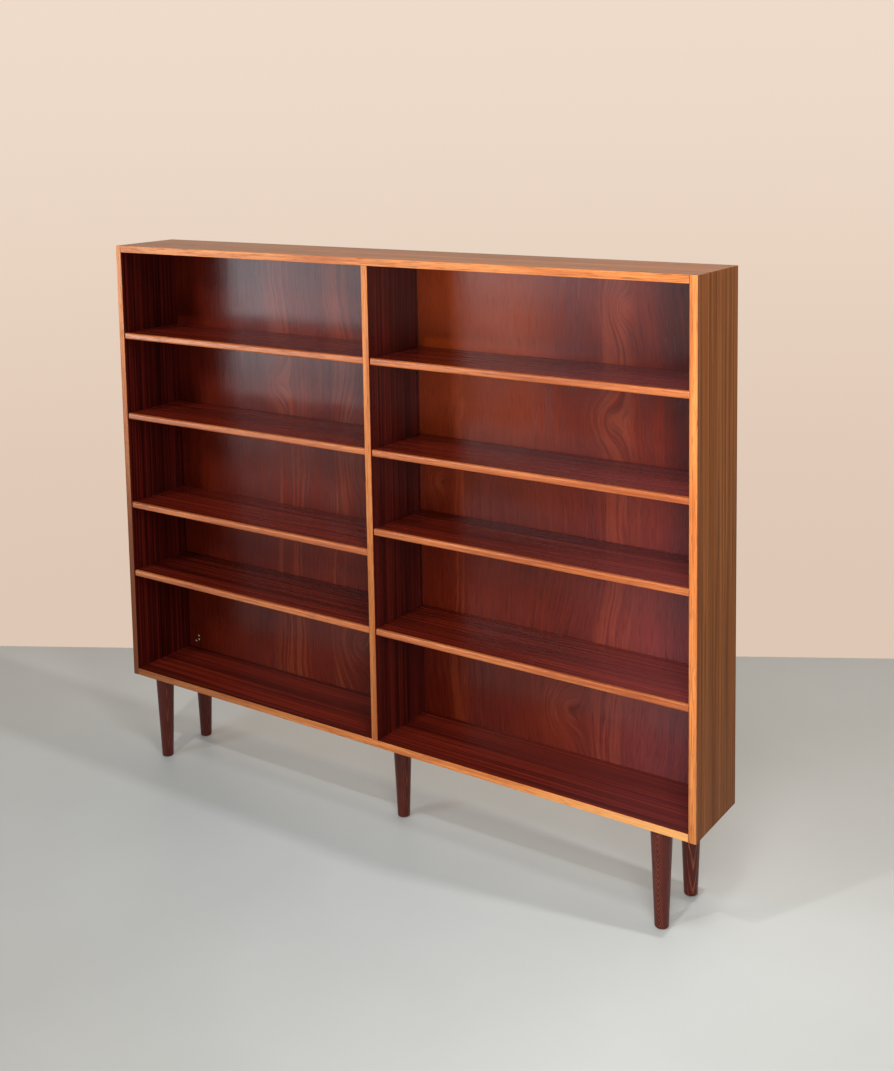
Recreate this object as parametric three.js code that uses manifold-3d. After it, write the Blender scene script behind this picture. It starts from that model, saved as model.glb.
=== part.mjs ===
// Low five-legged bookcase with two bays of adjustable shelves.
// Veneered boards with solid-wood front lippings make the case; each shelf hangs on two bent wires
// that sit in rows of small holes. Millimetres, +Z up, +X to the right, the open front faces -Y.
// The origin is on the floor, under the centre of the case.
import * as THREE from "three";
import { mergeVertices } from "three/addons/utils/BufferGeometryUtils.js";
import Module from "manifold-3d";

const wasm = await Module();
wasm.setup();

// ---- Driving dimensions ----
const CASE_WIDTH = 1520;
const CASE_HEIGHT = 1086;
const CASE_DEPTH = 190;
const LEG_LENGTH = 204;
const PANEL = 16; // side, top, bottom and divider boards
const CASE_LIPPING = 5; // depth of the solid strip glued to the front edges
const LIPPING_ROUND = 1; // rounding of the lippings' front edges
const CORNER_EASE = 1; // flat sanded on the mitred outer corners
const BACK_THICKNESS = 3;
const BACK_RECESS = 1; // back panel's outer face in from the case's rear edges
const BACK_REBATE = 8; // how far the back panel reaches behind each board
const BACK_CLEARANCE = 0.5;

const SHELF_THICKNESS = 15;
const SHELF_RECESS = 2; // shelf front behind the case front
const SHELF_END_GAP = 1;
const SHELF_BACK_GAP = 2;
const SHELF_LIPPING = 7;
const SHELF_NOSE = 4.5; // rounding of a shelf's front edge
const SHELF_CORNER = 2; // rounding of a shelf lipping's ends, seen from above

const HOLE_PITCH = 25;
const HOLES_IN_COLUMN = 31;
const LOWEST_HOLE = 188.5; // above the underside of the case
const FRONT_COLUMN = 18; // behind the case front
const REAR_COLUMN = 177;
const HOLE_RADIUS = 1.9;
const HOLE_DEPTH = 7;
const HOLE_SIDES = 6;

const WIRE_RADIUS = 1.5;
const WIRE_SIDES = 6;
const WIRE_OFFSET = 3.2; // from the board's face to the middle of the wire
const WIRE_BEND = 2.6; // radius of the bend at the wire's centre line
const WIRE_REACH = 6; // how far a bent end goes into its hole
const BEND_STEPS = 4;
const GROOVE_DEPTH = 4.5;
const GROOVE_HEIGHT = 3.8;
const GROOVE_STOP = 2.5; // board left whole in front of the wire

const LEG_TOP_RADIUS = 22;
const LEG_FOOT_RADIUS = 14;
const FOOT_ROUND = 3;
const LEG_END_INSET = 83; // leg axis from the end of the case
const LEG_FRONT_INSET = 26; // leg axis from the front or the back
const CENTRE_LEG_DEPTH = 104; // centre leg axis behind the case front
const LEG_SIDES = 20;
const BOLT_RADIUS = 4;
const BOLT_IN_LEG = 40;
const BOLT_IN_CASE = 11;
const BOLT_SIDES = 12;
const INSERT_RADIUS = 6;
const INSERT_LENGTH = 12.5;
const INSERT_SIDES = 16;
const FIT = 0.4; // radial clearance round bolts and inserts

// The hole that carries each shelf, counted up from the lowest, from the top shelf down.
const SHELF_HOLES = { left: [27, 19, 10, 3], right: [27, 19, 12, 3] };

// ---- Planes worked out from them ----
const LEFT = -CASE_WIDTH / 2;
const RIGHT = CASE_WIDTH / 2;
const FRONT = -CASE_DEPTH / 2;
const BACK = CASE_DEPTH / 2;
const BOTTOM = LEG_LENGTH;
const TOP = LEG_LENGTH + CASE_HEIGHT;
const BOARD_FRONT = FRONT + CASE_LIPPING;
const BACK_OUTSIDE = BACK - BACK_RECESS;
const BACK_FACE = BACK_OUTSIDE - BACK_THICKNESS;
const BAYS = {
  left: { low: LEFT + PANEL, high: -PANEL / 2 },
  right: { low: PANEL / 2, high: RIGHT - PANEL },
};
const COLUMNS = [FRONT + FRONT_COLUMN, FRONT + REAR_COLUMN];
const holeHeight = (hole) => BOTTOM + LOWEST_HOLE + hole * HOLE_PITCH;

// ---- Materials ----
const finish = (color, roughness, metalness = 0) =>
  new THREE.MeshStandardMaterial({ color, roughness, metalness });
const caseVeneer = () => finish(0x7a4b31, 0.42);
const lippingWood = () => finish(0xe0945a, 0.4);
const innerVeneer = () => finish(0x4f1f18, 0.38);
const backVeneer = () => finish(0x6b2a20, 0.32);
const legWood = () => finish(0x4a1f18, 0.4);
const steel = () => finish(0xb8b8b4, 0.3, 0.9);

// ---- Geometry helpers ----
function toSolid(geometry) {
  const bare = geometry.clone();
  bare.deleteAttribute("normal");
  bare.deleteAttribute("uv");
  const merged = mergeVertices(bare, 1e-4);
  const vertProperties = merged.attributes.position.array;
  const triVerts = new Uint32Array(merged.index.array);
  return new wasm.Manifold(new wasm.Mesh({ numProp: 3, vertProperties, triVerts }));
}

function fromSolid(solid) {
  const { vertProperties, triVerts } = solid.getMesh();
  const geometry = new THREE.BufferGeometry();
  geometry.setAttribute("position", new THREE.BufferAttribute(vertProperties, 3));
  geometry.setIndex(new THREE.BufferAttribute(triVerts, 1));
  const flat = geometry.toNonIndexed();
  flat.computeVertexNormals();
  return flat;
}

function cut(base, cutters) {
  return fromSolid(wasm.Manifold.difference([base, ...cutters].map(toSolid)));
}

function common(a, b) {
  return fromSolid(toSolid(a).intersect(toSolid(b)));
}

function box(x, y, z) {
  const size = [x, y, z].map(([low, high]) => high - low);
  const middle = [x, y, z].map(([low, high]) => (low + high) / 2);
  return new THREE.BoxGeometry(...size).translate(...middle);
}

function outline(points) {
  return new THREE.Shape(points.map(([a, b]) => new THREE.Vector2(a, b)));
}

function extrude(shape, depth) {
  return new THREE.ExtrudeGeometry(shape, { depth, bevelEnabled: false, curveSegments: 4 });
}

// A prism whose outline is drawn in X and Z.
function alongY(shape, [low, high]) {
  return extrude(shape, high - low).rotateX(Math.PI / 2).translate(0, high, 0);
}

// A prism whose outline is drawn in Y and Z.
function alongX(shape, [low, high]) {
  return extrude(shape, high - low).rotateY(Math.PI / 2).rotateX(Math.PI / 2).translate(low, 0, 0);
}

// A rod with flat sides along X, used for the wire holes.
function rodAlongX([low, high], y, z, radius, sides) {
  const rod = new THREE.CylinderGeometry(radius, radius, high - low, sides);
  return rod.rotateZ(Math.PI / 2).translate((low + high) / 2, y, z);
}

function rodAlongZ([low, high], radius, sides) {
  const rod = new THREE.CylinderGeometry(radius, radius, high - low, sides);
  return rod.rotateX(Math.PI / 2).translate(0, 0, (low + high) / 2);
}

// A strip's section: a rectangle whose two corners at the low end of its first axis are rounded.
function nosedSection([front, rear], [low, high], radius) {
  const shape = new THREE.Shape();
  shape.moveTo(rear, low);
  shape.lineTo(rear, high);
  shape.lineTo(front + radius, high);
  shape.absarc(front + radius, high - radius, radius, Math.PI / 2, Math.PI, false);
  shape.lineTo(front, low + radius);
  shape.absarc(front + radius, low + radius, radius, Math.PI, 1.5 * Math.PI, false);
  return shape;
}

// ---- Assembly ----
const bookcase = new THREE.Group();

function add(name, geometry, material, parent = bookcase) {
  const mesh = new THREE.Mesh(geometry, material);
  mesh.name = name;
  parent.add(mesh);
  return mesh;
}

function groupAt(x, y, z) {
  const group = new THREE.Group();
  group.position.set(x, y, z);
  bookcase.add(group);
  return group;
}

// ---- Case boards ----

// Holes for the wire ends, bored into the board face at x; inward is +1 or -1 along X.
function wireHoles(x, inward) {
  const span = [x - inward, x + inward * HOLE_DEPTH].sort((a, b) => a - b);
  const holes = [];
  for (const y of COLUMNS) {
    for (let hole = 0; hole < HOLES_IN_COLUMN; hole++) {
      holes.push(rodAlongX(span, y, holeHeight(hole), HOLE_RADIUS, HOLE_SIDES));
    }
  }
  return holes;
}

// The recess for the back panel, cut out of the rear edges of all four outer boards.
function backRebate() {
  const inset = PANEL - BACK_REBATE;
  return box([LEFT + inset, RIGHT - inset], [BACK_FACE, BACK + 1], [BOTTOM + inset, TOP - inset]);
}

// A side board, mitred to the top and bottom, with its sharp corners sanded flat.
function sidePanel(side) {
  const outer = side * RIGHT;
  const inner = outer - side * PANEL;
  const eased = outer - (side * CORNER_EASE) / 2;
  const points = [
    [outer, BOTTOM + CORNER_EASE],
    [eased, BOTTOM + CORNER_EASE / 2],
    [inner, BOTTOM + PANEL],
    [inner, TOP - PANEL],
    [eased, TOP - CORNER_EASE / 2],
    [outer, TOP - CORNER_EASE],
  ];
  const board = alongY(outline(points), [BOARD_FRONT, BACK]);
  return cut(board, [backRebate(), ...wireHoles(inner, side)]);
}

// The top or bottom board, mitred to fit; up is +1 for the top and -1 for the bottom.
function levelPanel(up, cutters = []) {
  const outer = up > 0 ? TOP : BOTTOM;
  const inner = outer - up * PANEL;
  const eased = outer - (up * CORNER_EASE) / 2;
  const points = [
    [LEFT + CORNER_EASE, outer],
    [LEFT + CORNER_EASE / 2, eased],
    [LEFT + PANEL, inner],
    [RIGHT - PANEL, inner],
    [RIGHT - CORNER_EASE / 2, eased],
    [RIGHT - CORNER_EASE, outer],
  ];
  const board = alongY(outline(points), [BOARD_FRONT, BACK]);
  return cut(board, [backRebate(), ...cutters]);
}

function centreDivider() {
  const half = PANEL / 2;
  const board = box([-half, half], [BOARD_FRONT, BACK_FACE], [BOTTOM + PANEL, TOP - PANEL]);
  return cut(board, [...wireHoles(half, -1), ...wireHoles(-half, 1)]);
}

function backPanel() {
  const inset = PANEL - BACK_REBATE + BACK_CLEARANCE;
  const z = [BOTTOM + inset, TOP - inset];
  return box([LEFT + inset, RIGHT - inset], [BACK_FACE, BACK_OUTSIDE], z);
}

function insertBore([x, y]) {
  const span = [BOTTOM - 1, BOTTOM + INSERT_LENGTH + 1];
  return rodAlongZ(span, INSERT_RADIUS + FIT, INSERT_SIDES).translate(x, y, 0);
}

// ---- Solid-wood front strips ----
function uprightLipping([low, high], z) {
  const section = nosedSection([FRONT, BOARD_FRONT], [-high, -low], LIPPING_ROUND);
  return extrude(section, z[1] - z[0])
    .rotateZ(Math.PI / 2)
    .translate(0, 0, z[0]);
}

function levelLipping(z) {
  const section = nosedSection([FRONT, BOARD_FRONT], z, LIPPING_ROUND);
  return alongX(section, [LEFT + PANEL, RIGHT - PANEL]);
}

// ---- Shelves, drawn round the middle of the bay at the height of the wire holes ----
const BAY_WIDTH = BAYS.right.high - BAYS.right.low;
const SHELF_HALF = BAY_WIDTH / 2 - SHELF_END_GAP;
const SHELF_FRONT = FRONT + SHELF_RECESS;
const SHELF_BACK = BACK_FACE - SHELF_BACK_GAP;
const SHELF_JOINT = SHELF_FRONT + SHELF_LIPPING; // where board and lipping are glued
const SHELF_Z = [-SHELF_THICKNESS / 2, SHELF_THICKNESS / 2];

function shelfBoard() {
  const board = box([-SHELF_HALF, SHELF_HALF], [SHELF_JOINT, SHELF_BACK], SHELF_Z);
  const grooveEnd = SHELF_HALF - GROOVE_DEPTH;
  const y = [SHELF_JOINT + GROOVE_STOP, SHELF_BACK + 1];
  const z = [-GROOVE_HEIGHT / 2, GROOVE_HEIGHT / 2];
  const grooves = [box([-SHELF_HALF - 1, -grooveEnd], y, z), box([grooveEnd, SHELF_HALF + 1], y, z)];
  return cut(board, grooves);
}

function shelfLipping() {
  const section = nosedSection([SHELF_FRONT, SHELF_JOINT], SHELF_Z, SHELF_NOSE);
  const strip = alongX(section, [-SHELF_HALF, SHELF_HALF]);
  const plan = new THREE.Shape();
  plan.moveTo(SHELF_HALF, SHELF_JOINT);
  plan.lineTo(-SHELF_HALF, SHELF_JOINT);
  const y = SHELF_FRONT + SHELF_CORNER;
  const x = SHELF_HALF - SHELF_CORNER;
  plan.absarc(-x, y, SHELF_CORNER, Math.PI, 1.5 * Math.PI, false);
  plan.absarc(x, y, SHELF_CORNER, 1.5 * Math.PI, 2 * Math.PI, false);
  const block = extrude(plan, SHELF_THICKNESS + 2).translate(0, 0, SHELF_Z[0] - 1);
  return common(strip, block);
}

// A path with a station at each point of a list, so that a sweep spends no steps on straight runs.
class StationPath extends THREE.Curve {
  constructor(stations) {
    super();
    this.stations = stations;
  }
  getUtoTmapping(u) {
    return u;
  }
  getPoint(t, target = new THREE.Vector3()) {
    const along = THREE.MathUtils.clamp(t, 0, 1) * (this.stations.length - 1);
    const index = Math.min(Math.floor(along), this.stations.length - 2);
    return target.lerpVectors(this.stations[index], this.stations[index + 1], along - index);
  }
}

// A wire support: straight along the bay's end face, both ends bent into the holes of the board.
// inward points from the bay into that board, +1 or -1 along X; x = 0 is the board's face.
function shelfWire(inward) {
  const bendX = -inward * (WIRE_OFFSET - WIRE_BEND);
  const half = [new THREE.Vector3(inward * WIRE_REACH, COLUMNS[0], 0)];
  for (let step = 0; step <= BEND_STEPS; step++) {
    const turn = (step / BEND_STEPS) * (Math.PI / 2);
    const x = bendX - inward * WIRE_BEND * Math.sin(turn);
    const y = COLUMNS[0] + WIRE_BEND * (1 - Math.cos(turn));
    half.push(new THREE.Vector3(x, y, 0));
  }
  const span = COLUMNS[0] + COLUMNS[1];
  const rear = half.map((p) => new THREE.Vector3(p.x, span - p.y, 0)).reverse();
  const path = new StationPath([...half, ...rear]);
  const section = new THREE.Shape();
  for (let side = 0; side < WIRE_SIDES; side++) {
    const angle = (side / WIRE_SIDES) * 2 * Math.PI;
    const point = [WIRE_RADIUS * Math.cos(angle), WIRE_RADIUS * Math.sin(angle)];
    if (side === 0) section.moveTo(...point);
    else section.lineTo(...point);
  }
  const steps = path.stations.length - 1;
  return new THREE.ExtrudeGeometry(section, { steps, extrudePath: path, bevelEnabled: false });
}

// ---- Legs ----
function lathe(points, sides) {
  const profile = points.map(([radius, z]) => new THREE.Vector2(radius, z));
  return new THREE.LatheGeometry(profile, sides).rotateX(Math.PI / 2);
}

// A straight taper with a rounded foot, bored from above for the bolt.
function legTurning() {
  const points = [[0, 0]];
  const slope = (LEG_TOP_RADIUS - LEG_FOOT_RADIUS) / LEG_LENGTH;
  const rounded = LEG_FOOT_RADIUS + slope * FOOT_ROUND;
  for (let step = 0; step <= 3; step++) {
    const turn = (step / 3) * (Math.PI / 2);
    const radius = rounded - FOOT_ROUND * (1 - Math.sin(turn));
    points.push([radius, FOOT_ROUND * (1 - Math.cos(turn))]);
  }
  const bore = BOLT_RADIUS + FIT;
  points.push([LEG_TOP_RADIUS, LEG_LENGTH], [bore, LEG_LENGTH]);
  points.push([bore, LEG_LENGTH - BOLT_IN_LEG - 1], [0, LEG_LENGTH - BOLT_IN_LEG - 1]);
  return lathe(points, LEG_SIDES);
}

// A hanger bolt: wood-screw shank with a point below, machine thread above.
function hangerBolt() {
  const shank = 0.8 * BOLT_RADIUS;
  const tip = LEG_LENGTH - BOLT_IN_LEG;
  const points = [
    [0, tip],
    [shank, tip + 6],
    [shank, LEG_LENGTH - 4],
    [BOLT_RADIUS, LEG_LENGTH - 3],
    [BOLT_RADIUS, LEG_LENGTH + BOLT_IN_CASE],
    [0, LEG_LENGTH + BOLT_IN_CASE],
  ];
  return lathe(points, BOLT_SIDES);
}

function threadedInsert() {
  const bore = BOLT_RADIUS + FIT;
  const z = [LEG_LENGTH, LEG_LENGTH + INSERT_LENGTH];
  const ring = [
    [bore, z[0]],
    [INSERT_RADIUS, z[0]],
    [INSERT_RADIUS, z[1]],
    [bore, z[1]],
    [bore, z[0]],
  ];
  return lathe(ring, INSERT_SIDES);
}

const LEG_PLACES = {
  front_left: [LEFT + LEG_END_INSET, FRONT + LEG_FRONT_INSET],
  rear_left: [LEFT + LEG_END_INSET, BACK - LEG_FRONT_INSET],
  centre: [0, FRONT + CENTRE_LEG_DEPTH],
  front_right: [RIGHT - LEG_END_INSET, FRONT + LEG_FRONT_INSET],
  rear_right: [RIGHT - LEG_END_INSET, BACK - LEG_FRONT_INSET],
};

// ---- Build ----
const inner = { x: [LEFT + PANEL, RIGHT - PANEL], z: [BOTTOM + PANEL, TOP - PANEL] };

add("left_side_panel", sidePanel(-1), caseVeneer());
add("right_side_panel", sidePanel(1), caseVeneer());
add("top_panel", levelPanel(1), caseVeneer());
add("bottom_panel", levelPanel(-1, Object.values(LEG_PLACES).map(insertBore)), caseVeneer());
add("centre_divider", centreDivider(), innerVeneer());
add("back_panel", backPanel(), backVeneer());

add("left_side_lipping", uprightLipping([LEFT, inner.x[0]], [BOTTOM, TOP]), lippingWood());
add("right_side_lipping", uprightLipping([inner.x[1], RIGHT], [BOTTOM, TOP]), lippingWood());
add("divider_lipping", uprightLipping([-PANEL / 2, PANEL / 2], inner.z), lippingWood());
add("top_lipping", levelLipping([inner.z[1], TOP]), lippingWood());
add("bottom_lipping", levelLipping([BOTTOM, inner.z[0]]), lippingWood());

for (const [bay, { low, high }] of Object.entries(BAYS)) {
  SHELF_HOLES[bay].forEach((hole, index) => {
    const name = `${bay}_shelf_${index + 1}`;
    const shelf = groupAt((low + high) / 2, 0, holeHeight(hole));
    add(`${name}_board`, shelfBoard(), innerVeneer(), shelf);
    add(`${name}_lipping`, shelfLipping(), lippingWood(), shelf);
    const leftWire = add(`${name}_wire_left`, shelfWire(-1), steel(), shelf);
    leftWire.position.x = -BAY_WIDTH / 2;
    const rightWire = add(`${name}_wire_right`, shelfWire(1), steel(), shelf);
    rightWire.position.x = BAY_WIDTH / 2;
  });
}

for (const [place, [x, y]] of Object.entries(LEG_PLACES)) {
  const leg = groupAt(x, y, 0);
  add(`${place}_leg`, legTurning(), legWood(), leg);
  add(`${place}_leg_bolt`, hangerBolt(), steel(), leg);
  add(`${place}_leg_insert`, threadedInsert(), steel(), leg);
}

export default bookcase;
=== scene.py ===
"""The looks of a mahogany bookcase with two bays of adjustable shelves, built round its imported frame."""
import math
import random

import bmesh
import bpy
from mathutils import Euler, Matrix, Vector

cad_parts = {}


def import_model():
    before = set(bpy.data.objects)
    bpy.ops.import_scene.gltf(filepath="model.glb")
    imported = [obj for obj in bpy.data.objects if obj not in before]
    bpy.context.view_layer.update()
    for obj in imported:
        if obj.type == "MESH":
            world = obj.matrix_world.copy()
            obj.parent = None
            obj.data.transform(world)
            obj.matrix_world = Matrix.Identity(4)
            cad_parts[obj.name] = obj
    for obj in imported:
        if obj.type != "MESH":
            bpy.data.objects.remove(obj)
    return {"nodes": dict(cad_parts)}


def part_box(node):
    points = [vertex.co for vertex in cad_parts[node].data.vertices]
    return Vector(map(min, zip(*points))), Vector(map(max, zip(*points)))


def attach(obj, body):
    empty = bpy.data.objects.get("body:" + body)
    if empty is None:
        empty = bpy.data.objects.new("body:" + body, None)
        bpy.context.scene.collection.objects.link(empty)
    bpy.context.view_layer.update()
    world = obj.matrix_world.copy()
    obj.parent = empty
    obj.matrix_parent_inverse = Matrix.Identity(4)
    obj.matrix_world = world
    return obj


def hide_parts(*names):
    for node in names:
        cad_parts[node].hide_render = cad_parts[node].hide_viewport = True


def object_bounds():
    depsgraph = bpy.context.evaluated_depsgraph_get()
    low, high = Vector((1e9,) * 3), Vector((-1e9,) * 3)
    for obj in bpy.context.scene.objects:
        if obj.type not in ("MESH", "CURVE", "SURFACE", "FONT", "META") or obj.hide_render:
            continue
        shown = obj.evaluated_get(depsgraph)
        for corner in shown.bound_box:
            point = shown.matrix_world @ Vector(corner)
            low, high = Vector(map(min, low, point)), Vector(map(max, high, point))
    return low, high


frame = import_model()
CAD_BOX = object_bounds()
NODES = frame["nodes"]

# ---- Places worked out from the frame, in metres ----
LOW, HIGH = CAD_BOX
FRONT = LOW.y
CASE_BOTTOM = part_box("bottom_panel")[0].z
BOARD_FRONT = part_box("top_panel")[0].y
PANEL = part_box("centre_divider")[1].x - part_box("centre_divider")[0].x
BACK_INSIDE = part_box("back_panel")[0].y
SIDE_INSIDE = HIGH.x - PANEL
WIRE_THICKNESS = 0.003
WIRE_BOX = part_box("left_shelf_1_wire_left")
HOLE_COLUMNS = (WIRE_BOX[0].y + WIRE_THICKNESS / 2, WIRE_BOX[1].y - WIRE_THICKNESS / 2)

# ---- What repeats ----
BAYS = ("left", "right")
SHELVES_PER_BAY = 4
LEG_PLACES = ("front_left", "rear_left", "centre", "front_right", "rear_right")


def srgb(red, green, blue):
    """A display colour, 0 to 255 a channel, as linear light."""
    def linear(value):
        value /= 255
        return value / 12.92 if value <= 0.04045 else ((value + 0.055) / 1.055) ** 2.4
    return (linear(red), linear(green), linear(blue), 1.0)


# ---- Node graphs ----
class Graph:
    """One procedural material: a Principled shader and helpers that add nodes in front of it."""

    def __init__(self, name):
        self.material = bpy.data.materials.new(name)
        self.material.use_nodes = True
        self.tree = self.material.node_tree
        self.tree.nodes.clear()
        output = self.node("ShaderNodeOutputMaterial")
        self.shader = self.node("ShaderNodeBsdfPrincipled")
        self.tree.links.new(self.shader.outputs["BSDF"], output.inputs["Surface"])
        self.place = self.node("ShaderNodeTexCoord").outputs["Object"]
        axes = self.node("ShaderNodeSeparateXYZ")
        self.set(axes.inputs[0], self.place)
        self.x, self.y, self.z = axes.outputs

    def node(self, kind, **settings):
        made = self.tree.nodes.new(kind)
        for key, value in settings.items():
            setattr(made, key, value)
        return made

    def set(self, socket, value):
        if isinstance(value, bpy.types.NodeSocket):
            self.tree.links.new(value, socket)
        else:
            socket.default_value = value

    def math(self, operation, a, b=0.0, c=0.0, clamp=False):
        made = self.node("ShaderNodeMath", operation=operation, use_clamp=clamp)
        for socket, value in zip(made.inputs, (a, b, c)):
            self.set(socket, value)
        return made.outputs[0]

    def ramp(self, value, low, high, to_low=0.0, to_high=1.0):
        """value from low..high to to_low..to_high by a smooth step, held at the ends."""
        made = self.node("ShaderNodeMapRange", interpolation_type="SMOOTHSTEP")
        for socket, given in zip(made.inputs, (value, low, high, to_low, to_high)):
            self.set(socket, given)
        return made.outputs[0]

    def vector(self, x, y, z):
        made = self.node("ShaderNodeCombineXYZ")
        for socket, value in zip(made.inputs, (x, y, z)):
            self.set(socket, value)
        return made.outputs[0]

    def noise(self, vector, scale=1.0, detail=2.0, roughness=0.5):
        made = self.node("ShaderNodeTexNoise")
        self.set(made.inputs["Vector"], vector)
        for name, value in (("Scale", scale), ("Detail", detail), ("Roughness", roughness)):
            made.inputs[name].default_value = value
        return made.outputs["Fac"]

    def contour(self, value, width):
        """1 along the lines where a noise crosses its middle, falling to 0 about a width away."""
        off = self.math("ABSOLUTE", self.math("SUBTRACT", value, 0.5))
        return self.ramp(off, width * 0.35, width * 1.1, 1.0, 0.0)

    def mix(self, factor, a, b, kind="MIX"):
        made = self.node("ShaderNodeMix", data_type="RGBA", blend_type=kind)
        self.set(made.inputs["Factor"], factor)
        self.set(made.inputs["A"], a)
        self.set(made.inputs["B"], b)
        return made.outputs["Result"]

    def shade(self, colour, amount):
        """colour times a grey amount."""
        grey = self.node("ShaderNodeCombineColor")
        for socket in grey.inputs:
            self.set(socket, amount)
        return self.mix(1.0, colour, grey.outputs[0], "MULTIPLY")

    def bump(self, height, distance):
        made = self.node("ShaderNodeBump")
        self.set(made.inputs["Height"], height)
        made.inputs["Distance"].default_value = distance
        self.set(self.shader.inputs["Normal"], made.outputs[0])

    def finish(self, colour, roughness, **sockets):
        self.set(self.shader.inputs["Base Color"], colour)
        self.set(self.shader.inputs["Roughness"], roughness)
        for name, value in sockets.items():
            self.shader.inputs[name.replace("_", " ")].default_value = value
        return self.material


def grain_space(graph, along):
    """(across, depth, along) coordinates for a board whose grain runs along x or z."""
    if along == "x":
        return graph.z, graph.y, graph.x
    return graph.x, graph.y, graph.z


def scaled(graph, space, across, along):
    """A noise coordinate with its own frequency across and along the grain, in cycles a metre."""
    frequencies = (across, across, along)
    return graph.vector(*[graph.math("MULTIPLY", part, often) for part, often in zip(space, frequencies)])


def wandering(graph, space, amount, seed):
    """The same coordinates with the grain drifting sideways a little as it runs."""
    a, b, c = space
    drift = graph.noise(graph.vector(seed, graph.math("MULTIPLY", a, 3.0), graph.math("MULTIPLY", c, 1.4)))
    shift = graph.math("MULTIPLY_ADD", drift, amount, seed - amount / 2)
    return graph.math("ADD", a, shift), graph.math("ADD", b, shift), c


VENEER_WANDER = 0.006  # how far a veneer's grain drifts sideways
GOLDEN_WANDER = 0.01  # the same for solid light mahogany


def veneer(graph, along, seed, dark, light, pitch, line_depth, line_width):
    """(colour, relief) of quarter-cut veneer: fine streaks and thin dark lines about a pitch apart."""
    space = wandering(graph, grain_space(graph, along), VENEER_WANDER, seed)
    tone = graph.ramp(graph.noise(scaled(graph, space, 11.0, 0.9)), 0.32, 0.68)
    streaks = graph.noise(scaled(graph, space, 3.0 / pitch, 1.1), detail=2.0, roughness=0.6)
    streak = graph.ramp(streaks, 0.38, 0.62)
    line = graph.contour(graph.noise(scaled(graph, space, 0.75 / pitch, 0.35), detail=1.0), line_width)
    pore = graph.ramp(graph.noise(scaled(graph, space, 900.0, 16.0), detail=1.0), 0.54, 0.7)
    share = graph.math("MULTIPLY_ADD", streak, 0.65, graph.math("MULTIPLY_ADD", tone, 0.25, 0.05))
    colour = graph.shade(graph.mix(share, dark, light), graph.math("MULTIPLY_ADD", line, -line_depth, 1.0))
    colour = graph.shade(colour, graph.math("MULTIPLY_ADD", pore, -0.2, 1.0))
    return colour, graph.math("MULTIPLY", pore, -1.0)


def pored(graph, relief, in_pores, between):
    """A roughness that is higher in the pores than between them."""
    return graph.ramp(relief, -1.0, 0.0, in_pores, between)


# ---- Figures of the veneers: pitch, depth and width of the dark lines ----
OUTER_FIGURE = (0.014, 0.36, 0.045)
INNER_FIGURE = (0.013, 0.5, 0.06)
SHELF_FIGURE = (0.011, 0.45, 0.08)

# ---- Seeds: where each board's grain is cut from the noise ----
SIDE_SEED = 1.3
LEVEL_SEED = 2.6
DIVIDER_SEED = 3.7
LOW_STRIP_SEED = 4.4
INSIDE_STEP = 3.9  # from a board's outer veneer to its inner one
SHELF_STEP = 1.31  # from one shelf to the next

# ---- Depths of the pores, in metres ----
SHELF_PORES = 0.00001
BOARD_PORES = 0.00003
SHELF_EDGE_PORES = 0.00004
BACK_PORES = 0.00005
LIPPING_PORES = 0.00006
LEG_PORES = 0.00008

# ---- Wood colours ----
CASE_DARK = srgb(102, 50, 10)
TOP_DARK = srgb(86, 38, 12)
CASE_LIGHT = srgb(142, 86, 42)
TOP_LIGHT = srgb(174, 104, 52)
CASE_OLIVE = srgb(101, 61, 18)
INNER_DARK = srgb(41, 6, 6)
INNER_LIGHT = srgb(98, 27, 20)
SHELF_DARK = srgb(72, 14, 9)
SHELF_LIGHT = srgb(138, 43, 24)
LIPPING_DARK = srgb(177, 92, 39)
LIPPING_LIGHT = srgb(222, 140, 74)
LIPPING_PORE = srgb(123, 57, 24)
# Painted shade laid over the lower parts of the front strips
LIPPING_PAINTED_SHADE = srgb(96, 40, 8)
# Painted highlight laid over the right-hand end of the bottom strip
LIPPING_PAINTED_HIGHLIGHT = srgb(255, 196, 122)
SHELF_EDGE_DARK = srgb(154, 73, 31)
SHELF_EDGE_LIGHT = srgb(198, 115, 61)
BACK_DARK = srgb(82, 18, 7)
BACK_MIDDLE = srgb(118, 37, 18)
BACK_LIGHT = srgb(160, 70, 40)
BACK_SHADE = srgb(62, 16, 14)
# Painted light: a lighter, redder patch on the right bay's back
BACK_PAINTED_LIGHT = srgb(188, 77, 21)
# Painted sheen: a pinkish haze mixed into the colour towards the right-hand end
PAINTED_SHEEN = srgb(179, 101, 107)
LEG_DARK = srgb(78, 22, 13)
LEG_LIGHT = srgb(166, 88, 58)
RAW_DARK = srgb(146, 98, 66)
RAW_LIGHT = srgb(186, 138, 100)
GLUE_LINE = srgb(48, 22, 12)
BORE = srgb(62, 26, 16)

PAINTED_SHEEN_REACH = (0.3, 0.7)  # x where the painted sheen starts and where it is fullest


def with_painted_sheen(graph, colour, most):
    """Painted sheen: a dull pinkish haze mixed into the colour towards the right-hand end of the case."""
    return graph.mix(graph.ramp(graph.x, *PAINTED_SHEEN_REACH, 0.0, most), colour, PAINTED_SHEEN)


SKIN = 0.0004  # how far past a board's inner face the red veneer reaches


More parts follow.
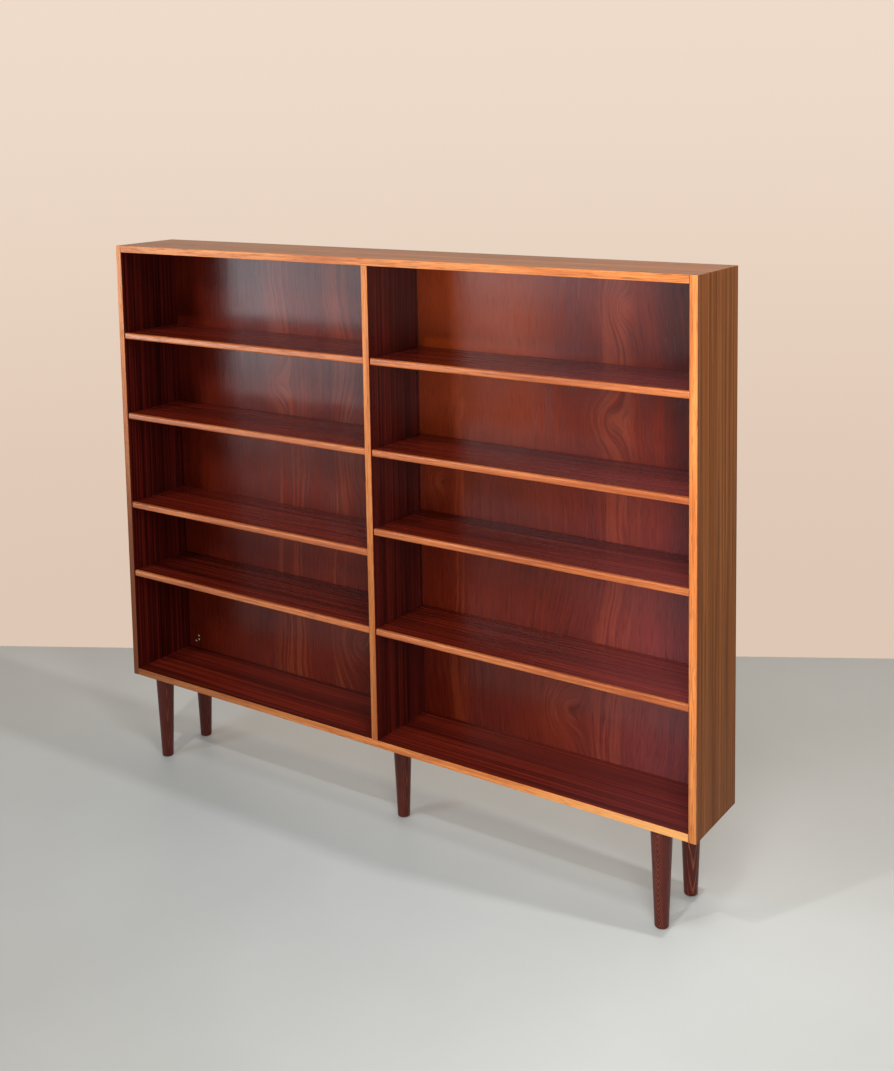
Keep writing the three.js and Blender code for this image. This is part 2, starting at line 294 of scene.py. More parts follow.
def case_skin(graph, along, seed):
    """(colour, relief) of the case: brown veneer outside, dark red veneer on what faces into the case."""
    dark, light = (CASE_DARK, CASE_LIGHT) if along == "z" else (TOP_DARK, TOP_LIGHT)
    outside, pore = veneer(graph, along, seed, dark, light, *OUTER_FIGURE)
    bands = graph.noise(scaled(graph, grain_space(graph, along), 120.0, 0.8))
    outside = graph.mix(graph.ramp(bands, 0.42, 0.66, 0.0, 0.35), outside, CASE_OLIVE)
    dark, light = (INNER_DARK, INNER_LIGHT) if along == "z" else (SHELF_DARK, SHELF_LIGHT)
    inside, inner_pore = veneer(graph, along, seed + INSIDE_STEP, dark, light, *INNER_FIGURE)
    if along == "x":
        # painted sheen on the inner faces of the top and bottom, towards the right-hand end
        inside = with_painted_sheen(graph, inside, 0.12)
    middle = (CASE_BOTTOM + HIGH.z) / 2
    reach_x = graph.math("ABSOLUTE", graph.x)
    reach_z = graph.math("ABSOLUTE", graph.math("SUBTRACT", graph.z, middle))
    within_x = graph.math("LESS_THAN", reach_x, SIDE_INSIDE + SKIN)
    within_z = graph.math("LESS_THAN", reach_z, HIGH.z - PANEL - middle + SKIN)
    within = graph.math("MULTIPLY", within_x, within_z)
    return graph.mix(within, outside, inside), graph.mix(within, pore, inner_pore)


HOLE_START, HOLE_END = 0.0003, 0.0075  # from just under the face to just past a hole's bottom
HOLE_HALF_WIDTH = 0.0025  # a little more than a hole's radius


def hole_bores(graph, colour, surface, inward):
    """Bare wood inside the two columns of support holes, past the face they are drilled in."""
    depth = graph.math("MULTIPLY", graph.math("SUBTRACT", graph.math("ABSOLUTE", graph.x), surface), inward)
    past = graph.math("GREATER_THAN", depth, HOLE_START)
    past = graph.math("MULTIPLY", past, graph.math("LESS_THAN", depth, HOLE_END))
    near = []
    for column in HOLE_COLUMNS:
        offset = graph.math("ABSOLUTE", graph.math("SUBTRACT", graph.y, column))
        near.append(graph.math("LESS_THAN", offset, HOLE_HALF_WIDTH))
    mask = graph.math("MULTIPLY", past, graph.math("ADD", *near, clamp=True))
    return graph.mix(mask, colour, BORE)


def seam(graph, colour, coordinate, place, width=0.0006):
    """A thin dark glue line where a coordinate has that value."""
    offset = graph.math("ABSOLUTE", graph.math("SUBTRACT", coordinate, place))
    return graph.mix(graph.ramp(offset, width / 3, width, 0.8, 0.0), colour, GLUE_LINE)


def board_wood(name, along, seed, shine):
    """An outer board of the case, with the glue line where its front strip begins."""
    graph = Graph(name)
    colour, relief = case_skin(graph, along, seed)
    colour = hole_bores(graph, colour, SIDE_INSIDE, 1.0)
    colour = seam(graph, colour, graph.y, BOARD_FRONT)
    graph.bump(relief, BOARD_PORES)
    return graph.finish(colour, pored(graph, relief, 0.5, 0.4), Specular_IOR_Level=shine)


def divider_wood():
    graph = Graph("divider_veneer")
    colour, relief = veneer(graph, "z", DIVIDER_SEED, INNER_DARK, INNER_LIGHT, *INNER_FIGURE)
    colour = hole_bores(graph, colour, PANEL / 2, -1.0)
    graph.bump(relief, BOARD_PORES)
    return graph.finish(colour, pored(graph, relief, 0.45, 0.32), Specular_IOR_Level=0.4)


def shelf_wood(seed):
    graph = Graph(f"shelf_veneer_{seed}")
    colour, relief = veneer(graph, "x", SHELF_STEP * seed, SHELF_DARK, SHELF_LIGHT, *SHELF_FIGURE)
    # painted sheen towards the right-hand end
    colour = with_painted_sheen(graph, colour, 0.19)
    graph.bump(relief, SHELF_PORES)
    return graph.finish(colour, pored(graph, relief, 0.34, 0.27), Specular_IOR_Level=0.4)


def golden_wood(graph, along, seed, dark=LIPPING_DARK, light=LIPPING_LIGHT):
    """(colour, relief) of solid light mahogany: fine streaks, flecked with short dark pores."""
    space = wandering(graph, grain_space(graph, along), GOLDEN_WANDER, seed)
    tone = graph.ramp(graph.noise(scaled(graph, space, 60.0, 3.0), detail=2.0), 0.34, 0.66)
    streak = graph.ramp(graph.noise(scaled(graph, space, 420.0, 6.0), detail=2.0), 0.34, 0.66)
    fleck = graph.ramp(graph.noise(scaled(graph, space, 700.0, 28.0), detail=1.0), 0.54, 0.68)
    share = graph.math("MULTIPLY_ADD", tone, 0.55, graph.math("MULTIPLY", streak, 0.45))
    colour = graph.mix(share, dark, light)
    colour = graph.mix(graph.math("MULTIPLY", fleck, 0.55), colour, LIPPING_PORE)
    return colour, graph.math("MULTIPLY", fleck, -1.0)


VENEER_EDGE = 0.0011  # from the case's front to the edge of the veneer


def case_lipping_wood(name, along, seed, joints=(), painted_tones=()):
    """A front strip of the case: golden in front, and veneered over its other faces up to the rounding.

    A joint is the x of a glue line. A painted tone is painted shade, or painted highlight, along the strip:
    where it is fullest, where it ends, how full it gets, and its colour.
    """
    graph = Graph(name)
    golden, relief = golden_wood(graph, along, seed)
    place = graph.z if along == "z" else graph.x
    for fullest, end, most, painted_tone in painted_tones:
        golden = graph.mix(graph.ramp(place, fullest, end, most, 0.0), golden, painted_tone)
    skin, _ = case_skin(graph, along, seed)
    edge = FRONT + VENEER_EDGE
    colour = graph.mix(graph.ramp(graph.y, edge - 0.0003, edge), golden, skin)
    colour = seam(graph, colour, graph.y, edge, 0.0004)
    for joint in joints:
        colour = seam(graph, colour, graph.x, joint, 0.001)
    graph.bump(relief, LIPPING_PORES)
    return graph.finish(colour, pored(graph, relief, 0.6, 0.4), Specular_IOR_Level=0.3)


def shelf_lipping_wood(seed):
    graph = Graph(f"shelf_lipping_wood_{seed}")
    colour, relief = golden_wood(graph, "x", seed, SHELF_EDGE_DARK, SHELF_EDGE_LIGHT)
    graph.bump(relief, SHELF_EDGE_PORES)
    return graph.finish(colour, pored(graph, relief, 0.5, 0.3), Specular_IOR_Level=0.5)


# Where the back panel's figure lies, in metres.
FLAMES = ((-0.385, 0.08), (-0.22, 0.05), (0.11, 0.03), (0.485, 0.055))  # x and half width of light streaks
RIBBONS = (0.665, 0.11)  # x and half width of the dark bands at the right-hand end
PAINTED_LIGHT_PLACE = (0.15, 0.26)  # x and half width of the painted light, a lighter and redder part of the right bay
PAINTED_LIGHT_HEIGHTS = (0.62, 1.2)  # z where it starts and where it is fullest
PAINTED_SHEEN_HEIGHTS = (1.05, 0.45)  # z where the painted sheen on the back starts and where it is fullest
KNOTS = (  # x, z and reach of the places round which the grain parts
    (-0.44, 0.955, 0.085), (-0.17, 0.79, 0.14), (-0.19, 0.33, 0.12), (-0.30, 1.06, 0.05),
    (0.455, 0.955, 0.09), (0.50, 1.19, 0.07), (0.37, 0.31, 0.11), (0.05, 0.77, 0.05),
)


def strip_at(graph, value, centre, half_width):
    """1 in the middle of a strip, falling to 0 at its two edges."""
    offset = graph.math("ABSOLUTE", graph.math("SUBTRACT", value, centre))
    return graph.ramp(offset, half_width * 0.3, half_width, 1.0, 0.0)


def back_noise(graph, across, depth, frequency, rise, **settings):
    """Noise over the back panel, in cycles a metre sideways and upwards."""
    up = graph.math("MULTIPLY", graph.z, rise)
    return graph.noise(graph.vector(graph.math("MULTIPLY", across, frequency), depth, up), **settings)


def parted_grain(graph, across):
    """(sideways coordinate bent round the knots, how near the closest knot is)."""
    knotty = 0.0
    parted = across
    for knot_x, knot_z, reach in KNOTS:
        off_x = graph.math("SUBTRACT", across, knot_x)
        off_z = graph.math("MULTIPLY", graph.math("SUBTRACT", graph.z, knot_z), 0.7)
        squares = graph.math("MULTIPLY_ADD", off_x, off_x, graph.math("MULTIPLY", off_z, off_z))
        near = graph.math("EXPONENT", graph.math("MULTIPLY", squares, -4.0 / reach ** 2))
        parted = graph.math("MULTIPLY_ADD", near, 0.55 * reach, parted)
        knotty = graph.math("MAXIMUM", knotty, near)
    return parted, knotty


def lightened(graph, colour, across, parted, knotty):
    """The ground with its light streaks and the curls round its knots."""
    flame = graph.contour(back_noise(graph, parted, 8.0, 52.0, 0.9, detail=2.0), 0.07)
    light = 0.0
    for centre, half_width in FLAMES:
        light = graph.math("MAXIMUM", light, strip_at(graph, across, centre, half_width))
    light = graph.math("MULTIPLY", light, graph.math("MULTIPLY_ADD", flame, 0.34, 0.06))
    curls = graph.contour(back_noise(graph, parted, 4.0, 95.0, 5.0, detail=2.0), 0.06)
    curled = graph.math("MULTIPLY", knotty, graph.math("MULTIPLY_ADD", curls, 0.26, 0.1))
    return graph.mix(graph.math("MAXIMUM", light, curled), colour, BACK_LIGHT)


def darkened(graph, colour, across, parted):
    """The ground with its dark ribbons at the right-hand end."""
    band = graph.ramp(back_noise(graph, parted, 2.2, 38.0, 0.5, detail=1.0), 0.44, 0.56)
    dark = graph.math("MULTIPLY_ADD", band, 0.7, 0.08)
    return graph.mix(graph.math("MULTIPLY", dark, strip_at(graph, across, *RIBBONS)), colour, BACK_SHADE)


def with_painted_light(graph, colour):
    """Painted light: the right bay's back lighter and redder at its upper left."""
    rise = graph.ramp(graph.z, *PAINTED_LIGHT_HEIGHTS, 0.0, 0.5)
    painted_light = graph.math("MULTIPLY", strip_at(graph, graph.x, *PAINTED_LIGHT_PLACE), rise)
    right_bay = graph.math("GREATER_THAN", graph.x, 0.0)
    return graph.mix(graph.math("MULTIPLY", painted_light, right_bay), colour, BACK_PAINTED_LIGHT)


def back_wood():
    """Flat-cut mahogany on the face that looks into the case, and raw plywood behind."""
    graph = Graph("back_veneer")
    curl = back_noise(graph, graph.x, 5.3, 13.0, 8.0, detail=2.0)
    drift = back_noise(graph, graph.x, 1.7, 2.4, 2.1, detail=1.0)
    curl = graph.math("MULTIPLY_ADD", curl, 0.022, -0.011)
    drift = graph.math("MULTIPLY_ADD", drift, 0.11, -0.055)
    across = graph.math("ADD", graph.x, graph.math("ADD", drift, curl))
    parted, knotty = parted_grain(graph, across)

    clouds = graph.ramp(back_noise(graph, graph.x, 9.0, 5.0, 3.0), 0.34, 0.66)
    streaks = back_noise(graph, parted, 3.0, 210.0, 3.6, detail=3.0, roughness=0.7)
    streaks = graph.ramp(streaks, 0.36, 0.64)
    pores = graph.ramp(back_noise(graph, parted, 0.0, 560.0, 24.0, detail=1.0), 0.5, 0.7)
    pored_shade = graph.math("MULTIPLY_ADD", pores, -0.3, 1.0)
    share = graph.math("MULTIPLY_ADD", clouds, 0.45, graph.math("MULTIPLY", streaks, 0.55))

    colour = graph.mix(share, BACK_DARK, BACK_MIDDLE)
    colour = lightened(graph, colour, across, parted, knotty)
    colour = darkened(graph, colour, across, parted)
    # painted light at the upper left of the right bay
    colour = with_painted_light(graph, colour)
    # painted sheen on the back, fuller lower down
    colour = with_painted_sheen(graph, colour, graph.ramp(graph.z, *PAINTED_SHEEN_HEIGHTS, 0.0, 0.3))
    colour = graph.shade(colour, pored_shade)

    behind = graph.math("GREATER_THAN", graph.y, BACK_INSIDE + SKIN)
    raw = graph.shade(graph.mix(share, RAW_DARK, RAW_LIGHT), pored_shade)
    colour = graph.mix(behind, colour, raw)
    graph.bump(graph.math("MULTIPLY_ADD", pores, -0.5, streaks), BACK_PORES)
    worn = graph.ramp(back_noise(graph, graph.x, 6.0, 14.0, 9.0), 0.3, 0.7, 0.24, 0.3)
    gloss = graph.math("MULTIPLY_ADD", streaks, -0.1, worn)
    return graph.finish(colour, graph.math("MULTIPLY_ADD", behind, 0.5, gloss), Specular_IOR_Level=0.36)


ARCH_TIP = 0.0016  # rounding of the arches' points
SCUFF_HEIGHT = 0.006


def leg_wood(place, turn, pitch, rise, reach, strength):
    """Dark stained wood with nested pointed arches of grain, which point down on two sides of the leg.

    An arch follows the next every pitch / rise up the leg. They are centred on a plane through the leg's
    axis, turned by that angle, and fade out by a reach from it.
    """
    low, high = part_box(f"{place}_leg")
    axis = (low + high) / 2
    graph = Graph(f"leg_wood_{place}")
    off_x = graph.math("SUBTRACT", graph.x, axis.x)
    off_y = graph.math("SUBTRACT", graph.y, axis.y)
    sideways = graph.math(
        "ADD", graph.math("MULTIPLY", off_x, math.cos(turn)), graph.math("MULTIPLY", off_y, math.sin(turn))
    )
    rounded = graph.math("SQRT", graph.math("MULTIPLY_ADD", sideways, sideways, ARCH_TIP ** 2))
    space = grain_space(graph, "z")
    wobble = graph.noise(scaled(graph, space, 90.0, 14.0), detail=2.0)
    height = graph.math("MULTIPLY_ADD", graph.z, -rise, graph.math("MULTIPLY", rounded, 0.25))
    squared = graph.math("MULTIPLY", sideways, sideways)
    height = graph.math("ADD", height, graph.math("MULTIPLY", squared, 20.0))
    height = graph.math("MULTIPLY_ADD", wobble, 0.9 * pitch, height)
    arch = graph.ramp(graph.math("SINE", graph.math("MULTIPLY", height, 2 * math.pi / pitch)), 0.35, 1.0)
    arch = graph.math("MULTIPLY", arch, graph.ramp(rounded, reach * 0.5, reach, 1.0, 0.12))
    fade = graph.noise(scaled(graph, space, 40.0, 9.0))
    fade = graph.ramp(fade, 0.36, 0.6, 0.35 * strength, strength)
    pore = graph.ramp(graph.noise(scaled(graph, space, 900.0, 30.0), detail=1.0), 0.5, 0.68)
    colour = graph.mix(graph.math("MULTIPLY", arch, fade), LEG_DARK, LEG_LIGHT)
    colour = graph.shade(colour, graph.math("MULTIPLY_ADD", pore, -0.4, 1.0))
    scuff = graph.math("MULTIPLY", graph.ramp(graph.z, 0.0, SCUFF_HEIGHT, 0.5, 0.0), pore)
    colour = graph.mix(scuff, colour, RAW_DARK)
    graph.bump(graph.math("MULTIPLY", pore, -1.0), LEG_PORES)
    return graph.finish(colour, graph.ramp(pore, 0.0, 1.0, 0.36, 0.6), Specular_IOR_Level=0.3)


def steel():
    graph = Graph("bright_steel")
    drawn = graph.noise(scaled(graph, (graph.x, graph.z, graph.y), 900.0, 30.0), detail=1.0)
    colour = graph.mix(drawn, srgb(150, 150, 146), srgb(205, 205, 200))
    return graph.finish(colour, graph.ramp(drawn, 0.3, 0.7, 0.25, 0.42), Metallic=1.0)


def nickel():
    graph = Graph("white_nickel")
    dulled = graph.noise(graph.place, 900.0, detail=2.0)
    colour = graph.mix(dulled, srgb(214, 208, 198), srgb(240, 236, 228))
    return graph.finish(colour, graph.ramp(dulled, 0.3, 0.7, 0.3, 0.45))


def give(node, material):
    """That material on every slot of a carried-over node."""
    for material_slot in NODES[node].material_slots:
        material_slot.material = material


# ---- Finishes on the carried-over nodes ----
side_wood = board_wood("side_veneer", "z", SIDE_SEED, 0.06)
level_wood = board_wood("level_veneer", "x", LEVEL_SEED, 0.3)
for node in ("left_side_panel", "right_side_panel"):
    give(node, side_wood)
for node in ("top_panel", "bottom_panel"):
    give(node, level_wood)
give("centre_divider", divider_wood())
give("back_panel", back_wood())
UPRIGHT_PAINTED_SHADE = {  # painted shade: z where the strip is darkest, z where that ends, and how dark it gets
    "left_side_lipping": (0.5, 1.05, 0.88),
    "right_side_lipping": (0.2, 0.5, 0.22),
    "divider_lipping": (0.55, 0.95, 0.4),
}
# Painted shade: each upright strip darker towards its foot
for node, painted_tone in UPRIGHT_PAINTED_SHADE.items():
    give(node, case_lipping_wood(f"{node}_wood", "z", SIDE_SEED, painted_tones=((*painted_tone, LIPPING_PAINTED_SHADE),)))
MITRES = (-SIDE_INSIDE, SIDE_INSIDE)
# Painted shade towards the left-hand end of the bottom strip, painted highlight towards its right-hand end
LOW_PAINTED_SHADE_AND_HIGHLIGHT = ((-0.8, 0.1, 0.6, LIPPING_PAINTED_SHADE), (HIGH.x, 0.3, 0.55, LIPPING_PAINTED_HIGHLIGHT))
give("top_lipping", case_lipping_wood("top_lipping_wood", "x", LEVEL_SEED, MITRES))
give("bottom_lipping", case_lipping_wood("bottom_lipping_wood", "x", LOW_STRIP_SEED, MITRES, LOW_PAINTED_SHADE_AND_HIGHLIGHT))
bright_steel = steel()
for number, bay in enumerate(BAYS):
    for shelf in range(1, SHELVES_PER_BAY + 1):
        give(f"{bay}_shelf_{shelf}_board", shelf_wood(number * SHELVES_PER_BAY + shelf))
for place in LEG_PLACES:
    give(f"{place}_leg_bolt", bright_steel)
    give(f"{place}_leg_insert", bright_steel)


# ---- Pieces ----
def piece(name, mesh, body, material, slot, *replaced):
    """A finished mesh as a piece that rides on a body and stands for CAD nodes. The slot is not used."""
    made = bpy.data.objects.new(name, bpy.data.meshes.new(name))
    bmesh.ops.recalc_face_normals(mesh, faces=mesh.faces)
    for face in mesh.faces:
        face.smooth = True
    mesh.to_mesh(made.data)
    mesh.free()
    made.data.set_sharp_from_angle(angle=math.radians(40))
    made.data.materials.append(material)
    bpy.context.scene.collection.objects.link(made)
    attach(made, body)
    if replaced:
        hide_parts(*replaced)


def skin_rings(mesh, rings):
    """Faces between rings of points that all hold the same number, and over the two ends."""
    rows = [[mesh.verts.new(point) for point in ring] for ring in rings]
    count = len(rows[0])
    for near, far in zip(rows, rows[1:]):
        for k in range(count):
            mesh.faces.new((near[k], near[(k + 1) % count], far[(k + 1) % count], far[k]))
    mesh.faces.new(rows[0])
    mesh.faces.new(rows[-1])


def arc(centre, radius, start, end, steps):
    """Points of an arc in a plane, from a start to an end angle in degrees."""
    angles = [math.radians(start + (end - start) * k / steps) for k in range(steps + 1)]
    return [(centre[0] + radius * math.cos(a), centre[1] + radius * math.sin(a)) for a in angles]


def full_turn(steps):
    """Angles evenly round a circle."""
    return [2 * math.pi * k / steps for k in range(steps)]


NOSE = 0.0045  # rounding of a shelf's front edge
END_ROUND = 0.002  # rounding of the lipping's ends, seen from above
NOSE_STEPS = 8
END_STEPS = 6
WEAR_STEPS = 60  # stations along the strip, between its rounded ends
WEAR = 0.00025  # deepest handling wear on the nose


def shelf_lipping(name, body, seed):
    """A shelf's solid front strip: round nose, eased ends, and slight waves of hand sanding and wear."""
    low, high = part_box(name)
    rng = random.Random(seed)
    nose = arc((low.y + NOSE, low.z + NOSE), NOSE, 270, 180, NOSE_STEPS)
    nose += arc((low.y + NOSE, high.z - NOSE), NOSE, 180, 90, NOSE_STEPS)
    section = nose + [(high.y, high.z), (high.y, low.z)]
    ends = [END_ROUND * (1 - math.cos(math.radians(90 * k / END_STEPS))) for k in range(END_STEPS + 1)]
    length = high.x - low.x
    inner = [ends[-1] + (length - 2 * ends[-1]) * k / WEAR_STEPS for k in range(1, WEAR_STEPS)]
    stations = ends + inner + [length - d for d in reversed(ends)]
    dips = [rng.random() for _ in stations]
    rings = []
    for k, along in enumerate(stations):
        from_end = min(along, length - along)
        setback = 0.0
        if from_end < END_ROUND:
            setback = END_ROUND - math.sqrt(END_ROUND ** 2 - (END_ROUND - from_end) ** 2)
        near = dips[max(k - 1, 0):k + 2]
        setback += WEAR * sum(near) / len(near)
        rings.append([(low.x + along, max(y, low.y + setback), z) for y, z in section])
    mesh = bmesh.new()
    skin_rings(mesh, rings)
    piece(f"{name}_rounded", mesh, body, shelf_lipping_wood(seed), "lipping_wood", name)


LEG_SIDES = 72
LEG_ROWS = 24
FOOT_RADIUS = 0.014
LEG_EASE = 0.0006  # chamfer round the leg's top
ON_AXIS = 0.0004  # radius of the small disc that closes a turned end
FOOT_ROUND = 0.003
FOOT_STEPS = 8
TAPER_START = 356  # angle in degrees at which the foot's rounding runs into the taper
BORE_CLEARANCE = 0.0004


def turned_leg(place, material):
    """A straight taper off the lathe, with an eased foot and the bore that takes its hanger bolt."""
    low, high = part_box(f"{place}_leg")
    bolt_low, bolt_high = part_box(f"{place}_leg_bolt")
    axis = (low + high) / 2
    top = (high.x - low.x) / 2
    bore = (bolt_high.x - bolt_low.x) / 2 + BORE_CLEARANCE
    floor_of_bore = bolt_low.z - BORE_CLEARANCE
    profile = [(ON_AXIS, low.z)]
    foot = (FOOT_RADIUS - FOOT_ROUND, low.z + FOOT_ROUND)
    profile += arc(foot, FOOT_ROUND, 270, TAPER_START, FOOT_STEPS)
    start_radius, start_z = profile[-1]
    for k in range(1, LEG_ROWS + 1):
        share = k / LEG_ROWS
        radius = start_radius + (top - start_radius) * share
        profile.append((radius, start_z + (high.z - LEG_EASE - start_z) * share))
    profile += [(top - LEG_EASE * 0.3, high.z - LEG_EASE * 0.3), (top - LEG_EASE, high.z)]
    profile += [(bore, high.z), (bore, floor_of_bore), (ON_AXIS, floor_of_bore)]
    turns = full_turn(LEG_SIDES)
    rings = []
    for radius, z in profile:
        rings.append([(axis.x + radius * math.cos(a), axis.y + radius * math.sin(a), z) for a in turns])
    mesh = bmesh.new()
    skin_rings(mesh, rings)
    piece(f"{place}_leg_turned", mesh, "case", material, "leg_wood", f"{place}_leg")


DOME_SIDES = 16
DOME_STEPS = 4
DOME_SINK = 0.0002  # how far a head starts inside the wood
DOME_TIP = 0.02  # what is left of the radius at the top, as a share


def add_dome(mesh, centre, radius, height, direction):
    """A nail's head: a low closed dome that stands off a face that looks along Y."""
    outline = [(-DOME_SINK, 1.0)]
    for k in range(DOME_STEPS + 1):
        angle = math.radians(90 * k / DOME_STEPS)
        outline.append((height * math.sin(angle), math.cos(angle) + DOME_TIP))
    turns = full_turn(DOME_SIDES)
    rings = []
    for rise, size in outline:
        y = centre[1] + direction * rise
        reach = radius * size
        rings.append([(centre[0] + reach * math.cos(a), y, centre[2] + reach * math.sin(a)) for a in turns])
    skin_rings(mesh, rings)


BRAD_SPACING = 0.085
BRAD_INSET = 0.004
BRAD_HEAD = (0.0016, 0.0005)  # radius and height
PIN_HEAD = (0.0026, 0.0009)
PIN_PLACES = ((-0.712, 0.252), (-0.712, 0.242), (-0.722, 0.237))  # x and z


def spread(low, high, spacing):
    """Even places from low to high, no further apart than the spacing."""
    count = math.ceil((high - low) / spacing)
    return [low + (high - low) * k / count for k in range(count + 1)]


def back_brads():
    """The brads that hold the back panel: along all its edges and up the divider."""
    low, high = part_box("back_panel")
    left, right = low.x + BRAD_INSET, high.x - BRAD_INSET
    bottom, top = low.z + BRAD_INSET, high.z - BRAD_INSET
    places = [(x, z) for z in (bottom, top) for x in spread(left, right, BRAD_SPACING)]
    for x in (left, 0.0, right):
        places += [(x, z) for z in spread(bottom, top, BRAD_SPACING)[1:-1]]
    mesh = bmesh.new()
    for x, z in places:
        add_dome(mesh, (x, high.y, z), *BRAD_HEAD, 1)
    piece("back_panel_brads", mesh, "case", bright_steel, "steel")


def back_pins():
    """Three bright pins left low in the back panel, at the left end of the left bay."""
    mesh = bmesh.new()
    for x, z in PIN_PLACES:
        add_dome(mesh, (x, BACK_INSIDE, z), *PIN_HEAD, -1)
    piece("back_panel_pins", mesh, "case", nickel(), "steel")


WIRE_BEND = 0.0026  # radius of the bends, along the wire's middle
WIRE_SIDES = 16
BEND_STEPS = 8


def support_wire(name, body, outward):
    """A round spring-steel wire along a shelf's end, with its two ends bent out into their holes."""
    low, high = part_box(name)
    radius = WIRE_THICKNESS / 2
    run = low.x + radius if outward > 0 else high.x - radius
    tip = high.x if outward > 0 else low.x
    front, rear = low.y + radius, high.y - radius
    middle = (low.z + high.z) / 2
    path = [(tip, front)]
    for a, b in arc((0, 0), WIRE_BEND, 90, 0, BEND_STEPS):
        path.append((run + outward * (WIRE_BEND - a), front + WIRE_BEND - b))
    for a, b in arc((0, 0), WIRE_BEND, 0, 90, BEND_STEPS):
        path.append((run + outward * (WIRE_BEND - a), rear - WIRE_BEND + b))
    path.append((tip, rear))
    points = [Vector((x, y, middle)) for x, y in path]
    up = Vector((0, 0, 1))
    turns = full_turn(WIRE_SIDES)
    rings = []
    for k, point in enumerate(points):
        ahead = (points[min(k + 1, len(points) - 1)] - points[max(k - 1, 0)]).normalized()
        across = ahead.cross(up)
        rings.append([point + across * radius * math.cos(a) + up * radius * math.sin(a) for a in turns])
    mesh = bmesh.new()
    skin_rings(mesh, rings)
    piece(f"{name}_round", mesh, body, bright_steel, "steel", name)


for number, bay in enumerate(BAYS):
    for shelf in range(1, SHELVES_PER_BAY + 1):
        name = f"{bay}_shelf_{shelf}"
        shelf_lipping(f"{name}_lipping", name, number * SHELVES_PER_BAY + shelf)
        support_wire(f"{name}_wire_left", f"{name}_wires", -1)
        support_wire(f"{name}_wire_right", f"{name}_wires", 1)
LEG_GRAINS = {  # turn of the grain, ring pitch, rise, reach and strength, one leg each
    "front_left": (0.9, 0.0022, 0.03, 0.02, 0.3),
    "rear_left": (1.4, 0.0021, 0.05, 0.02, 0.4),
    "centre": (1.1, 0.0020, 0.03, 0.02, 0.35),
    "front_right": (0.05, 0.0014, 0.12, 0.010, 0.75),
    "rear_right": (0.65, 0.0036, 0.068, 0.014, 0.85),
}
for place, grain in LEG_GRAINS.items():
    turned_leg(place, leg_wood(place, *grain))
back_brads()
back_pins()

# ---- Camera ----
camera_data = bpy.data.cameras.new("camera")
camera_data.sensor_fit = "HORIZONTAL"
camera_data.sensor_width = 36.0
camera_data.lens = 55.44
camera_data.shift_x = 0.0400
camera_data.shift_y = -0.2937
camera = bpy.data.objects.new("camera", camera_data)
bpy.context.scene.collection.objects.link(camera)
camera.location = (1.7708, -2.4105, 1.5761)
CAMERA_TURN, CAMERA_TILT, CAMERA_ROLL = 35.41, 6.26, -1.147
turn = Euler((0, 0, math.radians(CAMERA_TURN))).to_matrix()
tilt = Euler((math.radians(90 - CAMERA_TILT), 0, 0)).to_matrix()
roll = Euler((0, 0, math.radians(CAMERA_ROLL))).to_matrix()
camera.rotation_euler = (turn @ tilt @ roll).to_euler()
bpy.context.scene.camera = camera
bpy.context.scene.view_settings.view_transform = "Standard"

# ---- Floor ----
BACK_LINE = (Vector((-1.466, 0.278, 0)), Vector((0.667, 1.524, 0)))  # where the pale backdrop begins


def floor():
    along = (BACK_LINE[1] - BACK_LINE[0]).normalized()
    towards = Vector((along.y, -along.x, 0))
    middle = (BACK_LINE[0] + BACK_LINE[1]) / 2
    half_width, reach = 12.0, 14.0
    corners = [middle - along * half_width, middle + along * half_width]
    corners += [corners[1] + towards * reach, corners[0] + towards * reach]
    mesh = bpy.data.meshes.new("floor")
    mesh.from_pydata(corners, [], [(3, 2, 1, 0)])
    made = bpy.data.objects.new("floor", mesh)
    bpy.context.scene.collection.objects.link(made)
    graph = Graph("pale_floor")
    cloud = graph.noise(graph.place, 1.7, detail=4.0)
    colour = graph.mix(cloud, srgb(181, 188, 190), srgb(199, 207, 211))
    mesh.materials.append(graph.finish(colour, 0.5, Specular_IOR_Level=0.3))


floor()


# ---- Light ----
WALL_HIGH = (0.86, 0.71, 0.585, 1.0)
WALL_LOW = (0.73, 0.57, 0.455, 1.0)
ROOM = (0.14, 0.132, 0.12, 1.0)


def blend(tree, source, low, high, a, b):
    """Colour a where the source is low, b where it is high, and a smooth change between."""
    share = tree.nodes.new("ShaderNodeMapRange")
    share.interpolation_type = "SMOOTHSTEP"
    tree.links.new(source, share.inputs["Value"])
    share.inputs["From Min"].default_value = low
    share.inputs["From Max"].default_value = high
    mixed = tree.nodes.new("ShaderNodeMix")
    mixed.data_type = "RGBA"
    tree.links.new(share.outputs[0], mixed.inputs["Factor"])
    for name, value in (("A", a), ("B", b)):
        if isinstance(value, bpy.types.NodeSocket):
            tree.links.new(value, mixed.inputs[name])
        else:
            mixed.inputs[name].default_value = value
    return mixed.outputs["Result"]


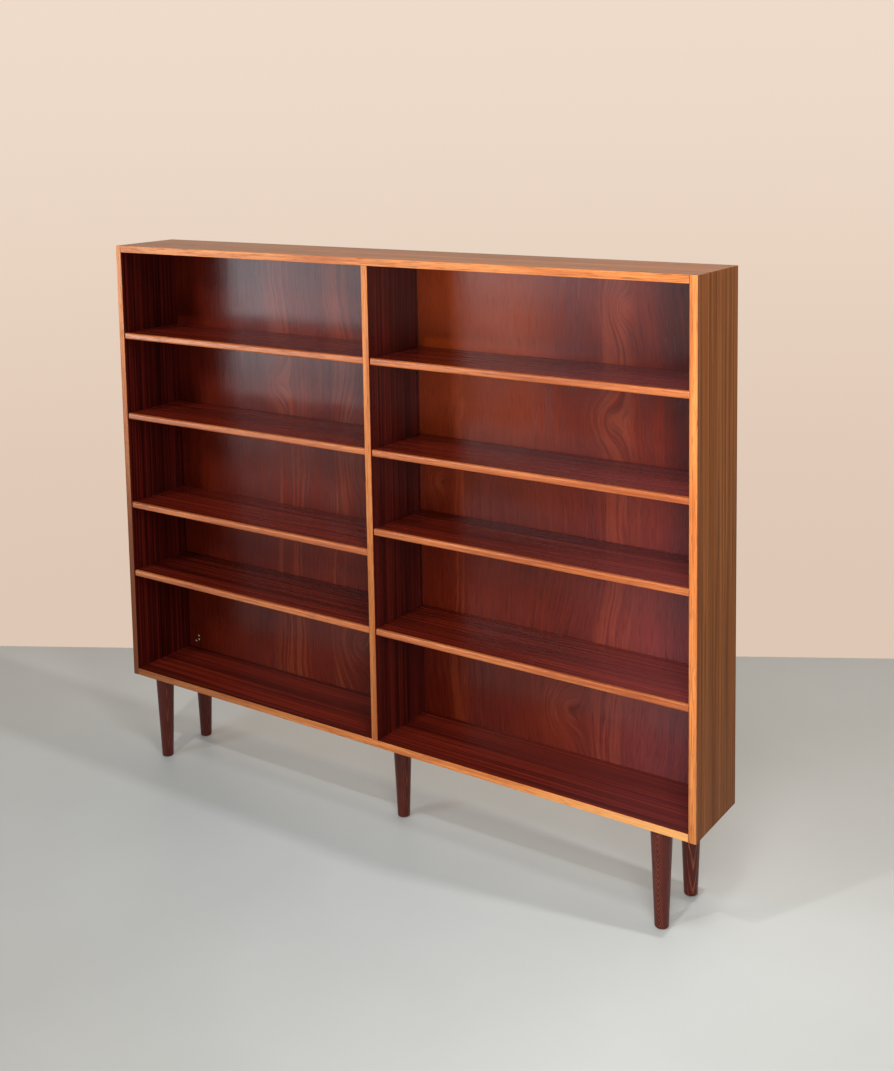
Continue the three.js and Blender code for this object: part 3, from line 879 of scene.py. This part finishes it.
def world():
    """A soft room: a lit warm wall on the far side of the bookcase, and a dimmer room in front of it."""
    made = bpy.data.worlds.new("room")
    bpy.context.scene.world = made
    made.use_nodes = True
    tree = made.node_tree
    tree.nodes.clear()
    axes = tree.nodes.new("ShaderNodeSeparateXYZ")
    tree.links.new(tree.nodes.new("ShaderNodeTexCoord").outputs["Generated"], axes.inputs[0])
    wall = blend(tree, axes.outputs[2], -0.36, 0.1, WALL_LOW, WALL_HIGH)
    background = tree.nodes.new("ShaderNodeBackground")
    tree.links.new(blend(tree, axes.outputs[1], -0.1, 0.35, ROOM, wall), background.inputs["Color"])
    tree.links.new(background.outputs[0], tree.nodes.new("ShaderNodeOutputWorld").inputs[0])


def area_light(name, place, aim, size, power, colour, spread=180):
    data = bpy.data.lights.new(name, "AREA")
    data.shape = "RECTANGLE"
    data.size, data.size_y = size
    data.energy = power
    data.spread = math.radians(spread)
    data.color = colour
    made = bpy.data.objects.new(name, data)
    bpy.context.scene.collection.objects.link(made)
    made.location = place
    made.rotation_euler = (Vector(aim) - Vector(place)).to_track_quat("-Z", "Y").to_euler()
    made.visible_camera = False


WARM = (1.0, 0.955, 0.90)
COOL = (0.83, 0.92, 1.0)
world()
area_light("lamp_right", (1.64, 0.06, 3.0), (0, 0, 0.9), (0.07, 0.07), 27, WARM)
area_light("lamp_front", (-0.14, -1.9, 3.0), (0, 0, 0.7), (0.07, 0.07), 19, WARM)
area_light("ceiling_right", (0.9, -0.9, 2.8), (0.7, -0.1, 0.8), (0.4, 0.4), 10.5, WARM)
area_light("near_right", (1.1, -0.9, 1.2), (0.5, 0, 0.9), (0.6, 0.6), 8.5, WARM)
area_light("low_right", (1.4, -1.4, 0.6), (0.5, 0, 0.4), (0.8, 0.6), 4.9, WARM, 120)
area_light("window_right", (-1.1, -3.75, 1.1), (0.6, 0, 1.1), (0.9, 1.6), 0.5, COOL, 50)
area_light("window_front", (-2.05, -3.75, 1.6), (0, 0, 1.55), (0.95, 1.8), 2.6, COOL, 50)
area_light("window_middle", (-2.85, -3.15, 0.96), (-0.3, 0, 1.25), (1.0, 1.9), 1.15, COOL, 44)
area_light("window_left", (-3.5, -2.3, 1.2), (-0.3, 0, 1.3), (1.1, 1.8), 4.8, COOL, 50)
area_light("high_left", (-1.7, -2.7, 2.7), (-0.4, 0, 1.05), (0.6, 0.6), 2.8, COOL, 44)
